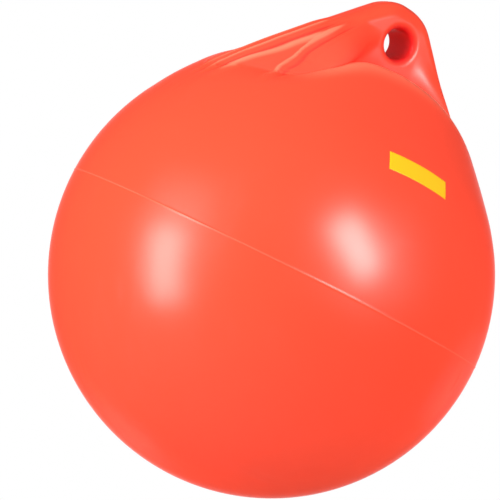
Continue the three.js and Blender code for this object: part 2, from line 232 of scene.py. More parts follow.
@dataclass(frozen=True)
class BuoyForm:
    """Moulded form of the buoy: a ball that flattens into a tab with a rounded top."""

    ball_radius: float = 250.0
    eye_height: float = 294.0
    seam_height: float = 7.0
    seam_width: float = 2.4
    seam_rise: float = 0.5
    seam_rows: tuple[float, ...] = (-1.0, -0.6, -0.25, 0.0, 0.25, 0.6, 1.0)
    morph_latitude: float = 26.0
    shoulder_latitude: float = 37.5
    side_tilt: float = 45.0
    side_start: float = 237.0
    top_radius: float = 51.5
    tip_height: float = 340.0
    dome_latitude: float = 47.0
    brow_radius: float = 40.0
    brow_reach: float = 78.0
    valley_radius: float = 14.0
    brow_drop: float = 84.0
    brow_sweep: float = 2.1
    gusset_fullness: float = 20.0
    pleated_drop: float = 20.0
    pleated_fullness: float = 27.0
    web_fullness: float = 14.0
    flank_start: float = 0.25
    flank_peak: float = 0.72
    flank_fade: float = 0.75
    valley_widening: float = 58.0
    valley_lag: float = 1.7
    square_start: float = 0.2
    pleated_start: float = 0.4
    gusset_full: float = 0.8
    crest_start: float = 0.80
    crest_full: float = 0.98
    crest_end: float = 0.25
    hollow_start: float = 0.1
    hollow_full: float = 0.4
    hollow_end: float = 0.5
    brow_squareness: float = 0.14
    tab_thickness: float = 58.0
    tab_edge_radius: float = 22.5
    tab_top_round: float = 25.0
    corner_limit: float = 0.78
    edge_share: float = 1.0 / 12.0
    corner_share: float = 1.0 / 3.0
    halvings: int = 40
    pleats: tuple[Pleat, ...] = ()

    def tab_half(self) -> float:
        """Returns half the tab's thickness."""
        return self.tab_thickness / 2.0

    def top_centre(self) -> float:
        """Returns the height of the middle of the tab's round top."""
        return self.tip_height - self.top_radius

    def side_half(self, height: float) -> float:
        """Returns the half width of the straight side, which is tangent to the round top."""
        tilt = math.radians(self.side_tilt)
        reach = self.top_radius + self.top_centre() * math.sin(tilt)
        return (reach - height * math.sin(tilt)) / math.cos(tilt)

    def shoulder_half(self, height: float) -> float:
        """Returns the half width where a curve leads from the ball into the straight side."""
        leave = math.radians(self.shoulder_latitude)
        tilt = math.radians(self.side_tilt)
        reach = self.top_radius + self.top_centre() * math.sin(tilt)
        bend_height = (self.ball_radius * math.cos(tilt) - reach * math.cos(leave)) / math.sin(
            leave - tilt
        )
        widths = (
            self.ball_radius * math.cos(leave),
            self.side_half(bend_height),
            self.side_half(self.side_start),
        )
        heights = (self.ball_radius * math.sin(leave), bend_height, self.side_start)
        low, high = 0.0, 1.0
        for _ in range(self.halvings):
            middle = (low + high) / 2.0
            if quadratic(heights, middle) < height:
                low = middle
            else:
                high = middle
        return quadratic(widths, low)

    def half_width(self, height: float) -> float:
        """Returns the half width of the broad profile at a height above the ball's centre."""
        if height <= self.ball_radius * math.sin(math.radians(self.shoulder_latitude)):
            return math.sqrt(max(0.0, self.ball_radius**2 - height**2))
        if height < self.side_start:
            return self.shoulder_half(height)
        turn = math.sin(math.radians(self.side_tilt))
        if height <= self.top_centre() + self.top_radius * turn:
            return self.side_half(height)
        return math.sqrt(max(0.0, self.top_radius**2 - (height - self.top_centre()) ** 2))

    def brow_centre(self) -> Point:
        """Returns the middle of the brow's arc in the narrow profile."""
        leave = math.radians(self.dome_latitude)
        rise = self.ball_radius - self.brow_radius - self.brow_reach * math.cos(leave)
        return self.brow_reach, rise / math.sin(leave)

    def dome(self) -> Outline:
        """Returns the narrow profile from the round ball up to the top of the brow."""
        leave = math.radians(self.dome_latitude)
        centre = self.brow_centre()
        ball = Arc((0.0, 0.0), self.ball_radius, math.radians(self.morph_latitude), leave)
        brow = Arc(centre, self.brow_radius, leave, math.pi / 2.0)
        return Outline((ball, Straight(ball.at(1.0), brow.at(0.0)), brow))

    def valley_centre(self) -> Point:
        """Returns the middle of the hollow between the brow and the tab."""
        reach = self.tab_half() + self.valley_radius
        span = self.brow_radius + self.valley_radius
        rise = math.sqrt(span**2 - (self.brow_reach - reach) ** 2)
        return reach, self.brow_centre()[1] + rise

    def valley(self) -> Outline:
        """Returns the narrow profile from the top of the brow to the tab's cheek."""
        centre = self.valley_centre()
        brow = self.brow_centre()
        end = math.atan2(centre[1] - brow[1], centre[0] - brow[0])
        fall = Arc(brow, self.brow_radius, math.pi / 2.0, end)
        hollow = Arc(centre, self.valley_radius, end + math.pi, math.pi)
        return Outline((fall, hollow))

    def station(self, side: float, face: Point, square: float, **marks: float) -> Station:
        """Returns the section with that height at its sides and that point on its face."""
        return Station(self.half_width(side), side, *face, square, **marks)

    def ball_stations(self, lower: int, upper: int) -> list[Station]:
        """Returns the round sections, closer together over the raised mould seam."""
        seam = math.asin(self.seam_height / self.ball_radius)
        half = self.seam_width / 2.0 / self.ball_radius
        gap = 2.0 * half
        morph = math.radians(self.morph_latitude)
        turns = [mix(-math.pi / 2.0, seam - gap, (i + 1) / lower) for i in range(lower)]
        turns += [seam + share * half for share in self.seam_rows]
        turns += [mix(seam + gap, morph, i / upper) for i in range(upper)]
        stations = []
        for turn in turns:
            bead = (1.0 - min(1.0, abs(turn - seam) / half) ** 2) ** 2
            reach = self.ball_radius + self.seam_rise * bead
            width = reach * math.cos(turn)
            height = reach * math.sin(turn)
            stations.append(Station(width, height, width, height, 0.0, seam=bead))
        return stations

    def neck_sides(self) -> Point:
        """Returns the side heights of the sections at the brow's top and the tab's foot."""
        brow_side = self.brow_centre()[1] + self.brow_radius - self.brow_drop
        return brow_side, brow_side + self.valley_widening

    def neck_stations(self, shoulder: int, valley: int) -> list[Station]:
        """Returns the sections over the shoulder, the brow and the valley behind it."""
        stations = []
        brow_side, face_side = self.neck_sides()
        morph = self.ball_radius * math.sin(math.radians(self.morph_latitude))
        dome = self.dome()
        for i in range(shoulder + 1):
            share = i / shoulder
            square = self.brow_squareness * ease(share, self.square_start, 1.0)
            side = mix(morph, brow_side, share)
            pleated = ease(share, self.pleated_start, 1.0)
            # Mask of the painted highlight on the brow's crest, rising over the shoulder's last
            # sections.
            crest = ease(share, self.crest_start, self.crest_full)
            face = dome.at(share)
            stations.append(self.station(side, face, square, pleated=pleated, crest=crest))
        hollow = self.valley()
        for i in range(1, valley + 1):
            share = i / valley
            side = mix(brow_side, face_side, share**self.valley_lag)
            square = mix(self.brow_squareness, 1.0, share)
            gusset = ease(share, 0.0, self.gusset_full)
            crest = 1.0 - ease(share, 0.0, self.crest_end)
            dull = ease(share, self.hollow_start, self.hollow_full)
            marks = {"gusset": gusset, "pleated": 1.0, "crest": crest, "hollow": dull}
            stations.append(self.station(side, hollow.at(share), square, **marks))
        return stations

    def tab_stations(self, face: int, top: int) -> list[Station]:
        """Returns the sections of the flat tab and its rounded top."""
        stations = []
        half = self.tab_half()
        face_side = self.neck_sides()[1]
        face_start = self.valley_centre()[1]
        round_start = self.tip_height - self.tab_top_round
        for i in range(1, face + 1):
            share = i / face
            height = mix(face_start, round_start, share)
            fading = 1.0 - ease(share, 0.0, self.flank_fade)
            side = mix(face_side, round_start, share)
            dull = 1.0 - ease(share, 0.0, self.hollow_end)
            marks = {"gusset": fading, "pleated": fading, "hollow": dull}
            stations.append(self.station(side, (half, height), 1.0, **marks))
        for i in range(1, top):
            turn = i / top * math.pi / 2.0
            height = round_start + self.tab_top_round * math.sin(turn)
            stations.append(self.station(height, (half * math.cos(turn), height), 1.0))
        return stations

    def flank(self, across: float) -> float:
        """Returns how fully a flank's own forms show at a share of the half width."""
        return hump(across, self.flank_start, self.flank_peak, 1.0)

    def section(self, station: Station, share: float, pleated: bool) -> Point:
        """Returns a point of a section's first quarter.

        Args:
            station: The section.
            share: 0 at the middle of the tab's edge, 1 at the middle of its cheek.
            pleated: Whether this is a quarter on a pleated side.

        Returns:
            The distances across the tab and through it.
        """
        angle = share * math.pi / 2.0
        oval = (station.half_width * math.cos(angle), station.half_depth * math.sin(angle))
        corner = min(
            self.tab_edge_radius,
            self.corner_limit * station.half_depth,
            self.corner_limit * station.half_width,
        )
        inner = station.half_width - corner
        flat = station.half_depth - corner
        if share <= self.edge_share:
            boxed = (station.half_width, flat * share / self.edge_share)
        elif share <= self.edge_share + self.corner_share:
            turn = (share - self.edge_share) / self.corner_share * math.pi / 2.0
            boxed = (inner + corner * math.cos(turn), flat + corner * math.sin(turn))
        else:
            rest = 1.0 - self.edge_share - self.corner_share
            across = (share - self.edge_share - self.corner_share) / rest
            boxed = (inner * (1.0 - across), station.half_depth)
        x = mix(oval[0], boxed[0], station.squareness)
        y = mix(oval[1], boxed[1], station.squareness)
        fullness = self.gusset_fullness * station.gusset
        if pleated:
            fullness += self.pleated_fullness * station.pleated
            fullness += self.web_fullness * station.gusset
        return x, y + fullness * self.flank(x / station.half_width)

    def quarter(
        self, station: Station, shares: list[float], pleated: bool
    ) -> list[tuple[float, ...]]:
        """Returns a quarter section's points with how far round each lies.

        Args:
            station: The section.
            shares: Shares of the quarter, rising from 0 to 1.
            pleated: Whether this is a quarter on a pleated side.

        Returns:
            Distance across, distance through, height and distance round the section.
        """
        points = []
        gone = 0.0
        last = None
        for share in shares:
            x, y = self.section(station, share, pleated)
            across = min(1.0, x / station.half_width)
            height = mix(station.face_height, station.side_height, across**self.brow_sweep)
            if pleated:
                height -= self.pleated_drop * station.pleated * self.flank(across)
            if last is not None:
                gone += math.dist(last, (x, y, height))
            last = (x, y, height)
            points.append((x, y, height, gone))
        return points


@dataclass
class SkinMesh:
    """Mesh of the moulded vinyl skin, shaped from a sphere blank to the buoy's form."""

    form: BuoyForm
    quarter_columns: int = 84
    edge_density: float = 0.5
    lower_rows: int = 46
    upper_rows: int = 12
    shoulder_rows: int = 52
    valley_rows: int = 34
    face_rows: int = 42
    top_rows: int = 16
    soft_passes: int = 60
    soft_start: float = 0.45
    soft_full: float = 0.8
    soft_low: float = 135.0
    soft_high: float = 235.0
    soft_run: float = 30.0
    soft_factor: float = 0.5
    crest_inner: float = 0.4
    crest_outer: float = 0.8

    def stations(self) -> list[Station]:
        """Returns all sections from the bottom pole to the tab's tip."""
        return (
            self.form.ball_stations(self.lower_rows, self.upper_rows)
            + self.form.neck_stations(self.shoulder_rows, self.valley_rows)
            + self.form.tab_stations(self.face_rows, self.top_rows)
        )

    def shares(self) -> list[float]:
        """Returns a quarter's columns, closer together at the tab's edge."""
        steps = [i / self.quarter_columns for i in range(self.quarter_columns + 1)]
        return [step * mix(self.edge_density, 1.0, step) for step in steps]

    def blank(self, rows: int) -> bmesh.types.BMesh:
        """Returns a unit sphere with that many rings between its poles."""
        mesh = bmesh.new()
        bmesh.ops.create_uvsphere(
            mesh, u_segments=4 * self.quarter_columns, v_segments=rows + 1, radius=1.0
        )
        return mesh

    def shape(self) -> bmesh.types.BMesh:
        """Returns the blank moulded to the form, with the folds' depth kept in a layer."""
        stations = self.stations()
        shares = self.shares()
        mesh = self.blank(len(stations))
        quarters = [
            tuple(self.form.quarter(station, shares, pleated) for pleated in (False, True))
            for station in stations
        ]
        for name in ("seam", "soft", "fold", "crest", "hollow"):
            mesh.verts.layers.float.new(name)
        layers = mesh.verts.layers.float
        seam, soft, fold = layers["seam"], layers["soft"], layers["fold"]
        crest, hollow = layers["crest"], layers["hollow"]
        columns = 4 * self.quarter_columns
        for vert in mesh.verts:
            polar = math.acos(max(-1.0, min(1.0, vert.co.z)))
            row = round((math.pi - polar) / math.pi * (len(stations) + 1)) - 1
            if row < 0:
                vert.co = Vector((0.0, 0.0, -self.form.ball_radius))
                continue
            if row >= len(stations):
                vert.co = Vector((0.0, 0.0, self.form.tip_height))
                continue
            column = round(math.atan2(vert.co.y, vert.co.x) / math.tau * columns) % columns
            station = stations[row]
            vert.co, offset, vert[soft] = self.place(station, quarters[row], column)
            vert[seam] = station.seam
            across = min(1.0, abs(vert.co.x) / station.half_width)
            # Painted highlight on the brow's crest, fading out towards the tab's edges.
            vert[crest] = station.crest * (1.0 - ease(across, self.crest_inner, self.crest_outer))
            vert[hollow] = station.hollow
            vert[fold] = sum(p.lift(offset, station.side_height) for p in self.form.pleats)
        self.soften(mesh, soft)
        bmesh.ops.recalc_face_normals(mesh, faces=mesh.faces)
        mesh.normal_update()
        lifts = [(vert, vert.normal.copy()) for vert in mesh.verts if vert[fold] != 0.0]
        for vert, normal in lifts:
            vert.co += normal * vert[fold]
        for vert in mesh.verts:
            vert.co = (vert.co - Vector((0.0, 0.0, self.form.eye_height))) * MM
        return mesh

    def soften(self, mesh: bmesh.types.BMesh, soft: bmesh.types.BMLayerItem) -> None:
        """Smooths the low ends of the brow on the pleated sides, least at their borders."""
        for i in range(self.soft_passes):
            level = i / self.soft_passes
            verts = [vert for vert in mesh.verts if vert[soft] > level]
            bmesh.ops.smooth_vert(
                mesh,
                verts=verts,
                factor=self.soft_factor,
                use_axis_x=True,
                use_axis_y=True,
                use_axis_z=True,
            )

    def place(
        self, station: Station, quarters: tuple[list[tuple[float, ...]], ...], column: int
    ) -> tuple[Vector, float, float]:
        """Returns where a column of a section lies.

        Args:
            station: The section.
            quarters: The section's plain and pleated quarters.
            column: Column counted round from +X.

        Returns:
            The point in millimetres, its distance round from the edge's middle, positive on
            a pleated side, and how much the skin is softened there.
        """
        side, within = divmod(column, self.quarter_columns)
        index = within if side % 2 == 0 else self.quarter_columns - within
        sign_x = 1.0 if side in (0, 3) else -1.0
        sign_y = 1.0 if side in (0, 1) else -1.0
        x, y, height, gone = quarters[sign_x == sign_y][index]
        soft = 0.0
        if sign_x == sign_y:
            level = station.side_height
            soft = (
                ease(x / station.half_width, self.soft_start, self.soft_full)
                * ease(level, self.soft_low, self.soft_low + self.soft_run)
                * (1.0 - ease(level, self.soft_high - self.soft_run, self.soft_high))
            )
        point = Vector((sign_x * x, sign_y * y, height))
        return point, sign_x * sign_y * gone, soft


def spin_profile(
    mesh: bmesh.types.BMesh, centre: Vector, axis: Vector, profile: Profile, steps: int
) -> list[bmesh.types.BMVert]:
    """Spins a profile about an axis.

    Args:
        mesh: The bmesh that it goes into.
        centre: A point on the axis, where the profile's rise is 0.
        axis: The axis.
        profile: Radius and rise of each point, in millimetres.
        steps: Steps in a full turn.

    Returns:
        The new vertices.
    """
    side = axis.orthogonal().normalized()
    verts = [
        mesh.verts.new(centre + (side * radius + axis * rise) * MM) for radius, rise in profile
    ]
    edges = [mesh.edges.new(pair) for pair in zip(verts, verts[1:])]
    before = set(mesh.verts) - set(verts)
    bmesh.ops.spin(
        mesh,
        geom=verts + edges,
        cent=centre,
        axis=axis,
        angle=math.tau,
        steps=steps,
        use_merge=True,
    )
    made = [vert for vert in mesh.verts if vert not in before]
    bmesh.ops.remove_doubles(mesh, verts=made, dist=WELD)
    return [vert for vert in mesh.verts if vert not in before]


@dataclass(frozen=True)
class Mouth:
    """Round opening let into a skin mesh along an axis."""

    centre: Vector
    axis: Vector
    clear_radius: float
    profile: Profile
    steps: int
    through: bool

    def ring_edges(
        self, mesh: bmesh.types.BMesh, verts: list[bmesh.types.BMVert]
    ) -> list[bmesh.types.BMEdge]:
        """Returns the open edges among some vertices."""
        chosen = set(verts)
        return [e for e in mesh.edges if e.is_boundary and set(e.verts) <= chosen]

    def clear(self, mesh: bmesh.types.BMesh) -> None:
        """Deletes the skin inside the opening."""
        doomed = []
        for vert in mesh.verts:
            rise = (vert.co - self.centre).dot(self.axis)
            foot = vert.co - self.centre - rise * self.axis
            near = foot.length < self.clear_radius * MM
            if near and (self.through or abs(rise) < self.clear_radius * MM):
                doomed.append(vert)
        bmesh.ops.delete(mesh, geom=doomed, context="VERTS")

    def cut(self, mesh: bmesh.types.BMesh) -> None:
        """Opens the skin and fills the ring between its edge and the spun mouth."""
        self.clear(mesh)
        skin = [edge for edge in mesh.edges if edge.is_boundary]
        made = spin_profile(mesh, self.centre, self.axis, self.profile, self.steps)
        rims = self.ring_edges(mesh, made)
        sides = (1.0, -1.0) if self.through else (1.0,)
        for sign in sides:
            here = [
                edge
                for edge in skin + rims
                if not self.through or sign * (edge.verts[0].co - self.centre).dot(self.axis) > 0
            ]
            bmesh.ops.triangle_fill(mesh, use_beauty=True, edges=here, normal=sign * self.axis)


class NodeSheet:
    """Small helper that adds and joins the nodes of one material or group."""

    def __init__(self, tree: bpy.types.NodeTree) -> None:
        """Starts on an empty tree."""
        self.tree = tree
        self.tree.nodes.clear()

    def add(self, kind: str, **values: object) -> bpy.types.Node:
        """Adds a node.

        Args:
            kind: Blender's name of the node type.
            values: Properties of the node by name.

        Returns:
            The new node.
        """
        node = self.tree.nodes.new(kind)
        for name, value in values.items():
            setattr(node, name, value)
        return node

    def feed(self, node: bpy.types.Node, **inputs: object) -> bpy.types.Node:
        """Sets or links a node's inputs, named with underscores for spaces."""
        for name, value in inputs.items():
            self.put(node.inputs[name.replace("_", " ")], value)
        return node

    def put(self, socket: bpy.types.NodeSocket, value: object) -> None:
        """Links a socket to another one, or sets its value."""
        if isinstance(value, bpy.types.NodeSocket):
            self.tree.links.new(value, socket)
        else:
            socket.default_value = value

    def coordinates(self) -> bpy.types.NodeSocket:
        """Returns the piece's own Object coordinates."""
        return self.add("ShaderNodeTexCoord").outputs["Object"]

    def noise(self, scale: float, detail: float, rough: float) -> bpy.types.NodeSocket:
        """Returns a noise value over Object coordinates."""
        node = self.add("ShaderNodeTexNoise")
        self.feed(
            node, Vector=self.coordinates(), Scale=scale, Detail=detail, Roughness=rough
        )
        return node.outputs["Fac"]

    def ramp(
        self, value: bpy.types.NodeSocket, low: float, high: float, start: float, end: float
    ) -> bpy.types.NodeSocket:
        """Returns a value mapped smoothly from low..high to start..end."""
        node = self.add("ShaderNodeMapRange", interpolation_type="SMOOTHSTEP")
        self.feed(
            node, Value=value, From_Min=low, From_Max=high, To_Min=start, To_Max=end
        )
        return node.outputs["Result"]

    def blend(self, share: object, first: object, second: object) -> bpy.types.NodeSocket:
        """Returns two colours mixed, with a share of the second."""
        node = self.add("ShaderNodeMix", data_type="RGBA")
        for index, value in ((0, share), (6, first), (7, second)):
            self.put(node.inputs[index], value)
        return node.outputs[2]

    def math(self, operation: str, first: object, second: object) -> bpy.types.NodeSocket:
        """Returns the result of a sum on two values or sockets."""
        node = self.add("ShaderNodeMath", operation=operation)
        self.put(node.inputs[0], first)
        self.put(node.inputs[1], second)
        return node.outputs[0]

    def attribute(self, name: str) -> bpy.types.NodeSocket:
        """Returns a value that the piece's vertices carry."""
        return self.add("ShaderNodeAttribute", attribute_name=name).outputs["Fac"]

    def bump(
        self, height: bpy.types.NodeSocket, strength: float, distance: float, **below: object
    ) -> bpy.types.NodeSocket:
        """Returns the normals of a height, laid over other normals where they are given."""
        node = self.add("ShaderNodeBump")
        self.feed(node, Strength=strength, Distance=distance, Height=height, **below)
        return node.outputs["Normal"]

    def group(self, tree: bpy.types.NodeTree, **values: float) -> bpy.types.NodeSocket:
        """Places a shared effect with its own values and returns its result."""
        return self.feed(self.add("ShaderNodeGroup", node_tree=tree), **values).outputs[0]


def new_group(name: str, inputs: dict[str, float], outputs: dict[str, str]) -> NodeSheet:
    """Makes a shader node group with value inputs.

    Args:
        name: Name of the group.
        inputs: Default of each value input by name.
        outputs: Socket type of each output by name.

    Returns:
        The sheet of the group's empty tree.
    """
    tree = bpy.data.node_groups.new(name, "ShaderNodeTree")
    for socket, value in inputs.items():
        made = tree.interface.new_socket(socket, in_out="INPUT", socket_type="NodeSocketFloat")
        made.default_value = value
    for socket, kind in outputs.items():
        tree.interface.new_socket(socket, in_out="OUTPUT", socket_type=kind)
    return NodeSheet(tree)


class SharedEffects:
    """Effects that several finishes use, each a node group built once."""

    def __init__(self) -> None:
        """Builds the groups."""
        self.grain = self.build_grain()
        self.clouds = self.build_clouds()
        self.scuffs = self.build_scuffs()

    @staticmethod
    def build_grain() -> bpy.types.NodeTree:
        """Returns the fine grain of a moulded or printed surface, as a height."""
        sheet = new_group(
            "fine_grain", {"Scale": 900.0, "Pits": 0.3}, {"Height": "NodeSocketFloat"}
        )
        given = sheet.add("NodeGroupInput")
        skin = sheet.add("ShaderNodeTexNoise")
        sheet.feed(
            skin, Vector=sheet.coordinates(), Scale=given.outputs["Scale"], Detail=3.0
        )
        cells = sheet.add("ShaderNodeTexVoronoi", feature="SMOOTH_F1")
        sheet.feed(
            cells,
            Vector=sheet.coordinates(),
            Scale=sheet.math("MULTIPLY", given.outputs["Scale"], 0.35),
        )
        pits = sheet.math("MULTIPLY", cells.outputs["Distance"], given.outputs["Pits"])
        total = sheet.math("ADD", skin.outputs["Fac"], pits)
        sheet.feed(sheet.add("NodeGroupOutput"), Height=total)
        return sheet.tree

    @staticmethod
    def build_clouds() -> bpy.types.NodeTree:
        """Returns slow, uneven patches, as a value from 0 to 1."""
        sheet = new_group(
            "slow_patches", {"Scale": 6.0, "Contrast": 0.25}, {"Patch": "NodeSocketFloat"}
        )
        given = sheet.add("NodeGroupInput")
        wide = sheet.add("ShaderNodeTexNoise")
        sheet.feed(
            wide, Vector=sheet.coordinates(), Scale=given.outputs["Scale"], Detail=2.0
        )
        small = sheet.add("ShaderNodeTexNoise")
        sheet.feed(
            small,
            Vector=sheet.coordinates(),
            Scale=sheet.math("MULTIPLY", given.outputs["Scale"], 5.0),
            Detail=2.0,
        )
        fine = sheet.math("MULTIPLY", small.outputs["Fac"], 0.15)
        both = sheet.math("ADD", wide.outputs["Fac"], fine)
        middle = sheet.math("SUBTRACT", both, 0.575)
        spread = sheet.math("DIVIDE", middle, given.outputs["Contrast"])
        shifted = sheet.add("ShaderNodeClamp")
        sheet.feed(shifted, Value=sheet.math("ADD", spread, 0.5))
        sheet.feed(sheet.add("NodeGroupOutput"), Patch=shifted.outputs[0])
        return sheet.tree

    @staticmethod
    def build_scuffs() -> bpy.types.NodeTree:
        """Returns faint rubbed streaks from handling, as a mask."""
        sheet = new_group(
            "handling_scuffs", {"Scale": 14.0, "Amount": 0.3}, {"Mask": "NodeSocketFloat"}
        )
        given = sheet.add("NodeGroupInput")
        stretch = sheet.add("ShaderNodeMapping")
        sheet.feed(
            stretch, Vector=sheet.coordinates(), Rotation=(0.5, 0.3, 0.9), Scale=(1.0, 7.0, 1.6)
        )
        lines = sheet.add("ShaderNodeTexNoise")
        sheet.feed(
            lines, Vector=stretch.outputs[0], Scale=given.outputs["Scale"], Detail=1.5
        )
        where = sheet.noise(9.0, 1.0, 0.5)
        thin = sheet.ramp(lines.outputs["Fac"], 0.50, 0.85, 0.0, 1.0)
        zone = sheet.ramp(where, 0.42, 0.70, 0.0, 1.0)
        mask = sheet.math("MULTIPLY", sheet.math("MULTIPLY", thin, zone), given.outputs["Amount"])
        sheet.feed(sheet.add("NodeGroupOutput"), Mask=mask)
        return sheet.tree


def start_material(name: str) -> tuple[bpy.types.Material, NodeSheet, bpy.types.Node]:
    """Makes a material with an empty Principled shader.

    Args:
        name: Name of the material.

    Returns:
        The material, its node sheet and its shader.
    """
    material = bpy.data.materials.new(name)
    material.use_nodes = True
    sheet = NodeSheet(material.node_tree)
    shader = sheet.add("ShaderNodeBsdfPrincipled")
    output = sheet.add("ShaderNodeOutputMaterial")
    sheet.feed(output, Surface=shader.outputs["BSDF"])
    return material, sheet, shader


@dataclass(frozen=True)
class VinylFinish:
    """Satin-gloss orange vinyl: painted highlight on fold crests and brow, paler seam with a
    painted highlight, painted shade in grooves and throat.
    """

    colour: Colour = (0.99, 0.060, 0.024, 1.0)
    pale: Colour = (1.0, 0.085, 0.038, 1.0)
    # Painted shade in the pleat grooves.
    painted_groove_shade: Colour = (0.86, 0.036, 0.020, 1.0)
    # Painted highlight on the pleat crests and along the brow's crest.
    crest: Colour = (1.0, 0.20, 0.11, 1.0)
    # Painted shade inside the rope eye's throat.
    throat: Colour = (0.84, 0.024, 0.024, 1.0)
    # Seam line paler in itself, with a painted highlight along its bead.
    seam: Colour = (1.0, 0.13, 0.07, 1.0)
    roughness: float = 0.29
    specular: float = 0.32
    grain_height: float = 0.00003
    sway_height: float = 0.0009
    paleness: float = 0.35
    crest_from: float = 1.2
    crest_to: float = 3.4
    groove_shade_to: float = -1.6
    hollow_dull: float = 0.5

    def build(self, effects: SharedEffects) -> bpy.types.Material:
        """Returns the material."""
        material, sheet, shader = start_material("orange_vinyl_skin")
        patch = sheet.group(effects.clouds, Scale=5.0, Contrast=1.2)
        toned = sheet.blend(sheet.math("MULTIPLY", patch, self.paleness), self.colour, self.pale)
        fold = sheet.attribute("fold")
        # Painted highlight on the pleat crests and on the brow's crest.
        pleat_crest = sheet.ramp(fold, self.crest_from, self.crest_to, 0.0, 0.9)
        brow = sheet.attribute("crest")
        crest = sheet.math("MAXIMUM", pleat_crest, sheet.math("MULTIPLY", brow, 0.8))
        # Painted shade in the pleat grooves, from the fold layer.
        groove = sheet.ramp(fold, 0.0, self.groove_shade_to, 0.0, 1.0)
        crested = sheet.blend(crest, toned, self.crest)
        groove_shaded = sheet.blend(groove, crested, self.painted_groove_shade)
        # Paler seam line, partly a painted highlight along the bead.
        seam = sheet.attribute("seam")
        folded = sheet.blend(sheet.math("MULTIPLY", seam, 0.7), groove_shaded, self.seam)
        scuff = sheet.group(effects.scuffs, Scale=16.0, Amount=0.12)
        rubbed = sheet.blend(sheet.math("MULTIPLY", scuff, 0.25), folded, self.pale)
        # Painted shade in the eye's throat, fading out over the flare.
        bore_shade = sheet.attribute("bore_shade")
        bore_shaded = sheet.blend(bore_shade, rubbed, self.throat)
        hollow = sheet.attribute("hollow")
        dulled = sheet.math("ADD", sheet.math("MULTIPLY", hollow, self.hollow_dull), scuff)
        rough = sheet.math(
            "ADD",
            dulled,
            sheet.ramp(patch, 0.0, 1.0, self.roughness - 0.02, self.roughness + 0.03),
        )
        grain = sheet.group(effects.grain, Scale=1100.0, Pits=0.3)
        fine = sheet.bump(grain, 0.35, self.grain_height)
        sway = sheet.bump(sheet.noise(11.0, 2.0, 0.4), 0.6, self.sway_height, Normal=fine)
        sheet.feed(
            shader,
            Base_Color=bore_shaded,
            Roughness=rough,
            Normal=sway,
            Specular_IOR_Level=self.specular,
        )
        return material


@dataclass(frozen=True)
class RubberFinish:
    """Matt black moulded rubber with a dusty bloom."""

    colour: Colour = (0.018, 0.018, 0.018, 1.0)
    bloom: Colour = (0.06, 0.058, 0.055, 1.0)
    roughness: float = 0.62
    grain_height: float = 0.00006

    def build(self, effects: SharedEffects) -> bpy.types.Material:
        """Returns the material."""
        material, sheet, shader = start_material("valve_rubber_moulded")
        patch = sheet.group(effects.clouds, Scale=60.0, Contrast=0.4)
        scuff = sheet.group(effects.scuffs, Scale=90.0, Amount=0.6)
        share = sheet.math("ADD", sheet.math("MULTIPLY", patch, 0.3), scuff)
        grain = sheet.group(effects.grain, Scale=2200.0, Pits=0.6)
        sheet.feed(
            shader,
            Base_Color=sheet.blend(share, self.colour, self.bloom),
            Roughness=sheet.ramp(patch, 0.0, 1.0, self.roughness - 0.05, self.roughness + 0.1),
            Normal=sheet.bump(grain, 0.5, self.grain_height),
        )
        return material


@dataclass(frozen=True)
class FilmFinish:
    """Bare yellow vinyl film, a little deeper at its cut edge."""

    colour: Colour = (0.96, 0.49, 0.001, 1.0)
    pale: Colour = (0.98, 0.53, 0.004, 1.0)
    edge: Colour = (0.80, 0.39, 0.002, 1.0)
    roughness: float = 0.40
    specular: float = 0.2
    grain_height: float = 0.00003

    def build(self, effects: SharedEffects) -> bpy.types.Material:
        """Returns the material."""
        material, sheet, shader = start_material("label_film_bare")
        patch = sheet.group(effects.clouds, Scale=40.0, Contrast=0.5)
        toned = sheet.blend(sheet.math("MULTIPLY", patch, 0.25), self.colour, self.pale)
        rim = sheet.attribute("rim")
        edged = sheet.blend(sheet.ramp(rim, 0.0, 1.0, 0.0, 0.7), toned, self.edge)
        scuff = sheet.group(effects.scuffs, Scale=60.0, Amount=0.4)
        grain = sheet.group(effects.grain, Scale=2600.0, Pits=0.2)
        sheet.feed(
            shader,
            Base_Color=sheet.blend(sheet.math("MULTIPLY", scuff, 0.4), edged, self.pale),
            Roughness=sheet.math("ADD", sheet.math("MULTIPLY", scuff, 0.2), self.roughness),
            Normal=sheet.bump(grain, 0.3, self.grain_height),
            Specular_IOR_Level=self.specular,
        )
        return material


def finish_object(
    mesh: bmesh.types.BMesh, name: str, material: bpy.types.Material
) -> bpy.types.Object:
    """Makes a smooth-shaded object at the origin from a finished bmesh.

    Args:
        mesh: The bmesh, which is freed.
        name: Name of the object.
        material: Its material.

    Returns:
        The new object.
    """
    data = bpy.data.meshes.new(name)
    mesh.to_mesh(data)
    mesh.free()
    for polygon in data.polygons:
        polygon.use_smooth = True
    data.materials.append(material)
    made = bpy.data.objects.new(name, data)
    bpy.context.scene.collection.objects.link(made)
    return made


